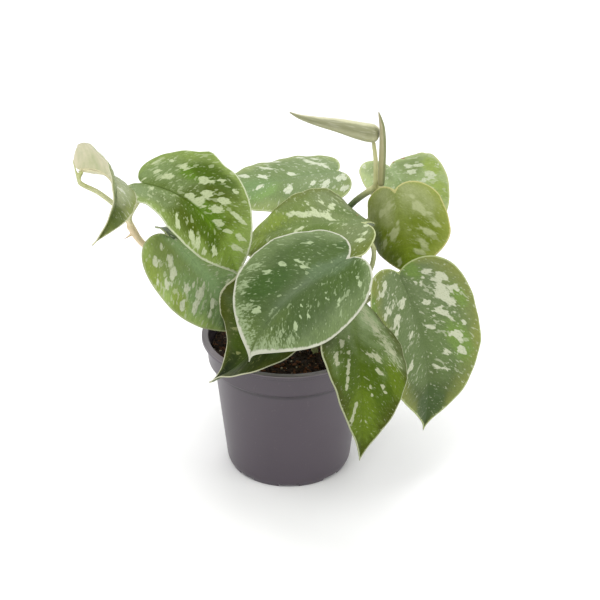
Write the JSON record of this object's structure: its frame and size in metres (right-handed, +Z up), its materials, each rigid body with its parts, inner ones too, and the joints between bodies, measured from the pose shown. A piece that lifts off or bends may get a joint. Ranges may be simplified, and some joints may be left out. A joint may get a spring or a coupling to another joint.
{
  "type": "potted satin pothos",
  "caption": "Satin pothos with heart-shaped silver-splashed leaves on short vines, in a round tapered nursery pot filled with soil.",
  "frame": {"origin": "centre of the pot's underside, where it stands", "axes": "+Z up, +X to the right and +Y away from the side the plant shows best"},
  "size_m": [0.2761, 0.2541, 0.253],
  "materials": {
    "pot": "matt moulded taupe plastic",
    "soil": "loose dark potting mix with fine bark",
    "stem": "smooth pale green stem",
    "leaf": "satin green leaf with silver splashes and a pale margin",
    "young_leaf": "satin pale olive young leaf"
  },
  "bodies": {
    "root": {"pot": "pot", "soil": "soil", "vine_left": "stem", "vine_right": "stem", "vine_front": "stem", "vine_side": "stem", "petiole_shaded": "stem", "leaf_front": "leaf", "leaf_right": "leaf", "leaf_low": "leaf", "leaf_round": "leaf", "leaf_back_right": "leaf", "leaf_back": "leaf", "leaf_middle": "leaf", "leaf_upper_left": "leaf", "leaf_lower_left": "leaf", "leaf_shaded": "leaf", "leaf_far_left": "leaf", "leaf_rolled": "young_leaf", "leaf_spear": "young_leaf"}
  },
  "joints": []
}
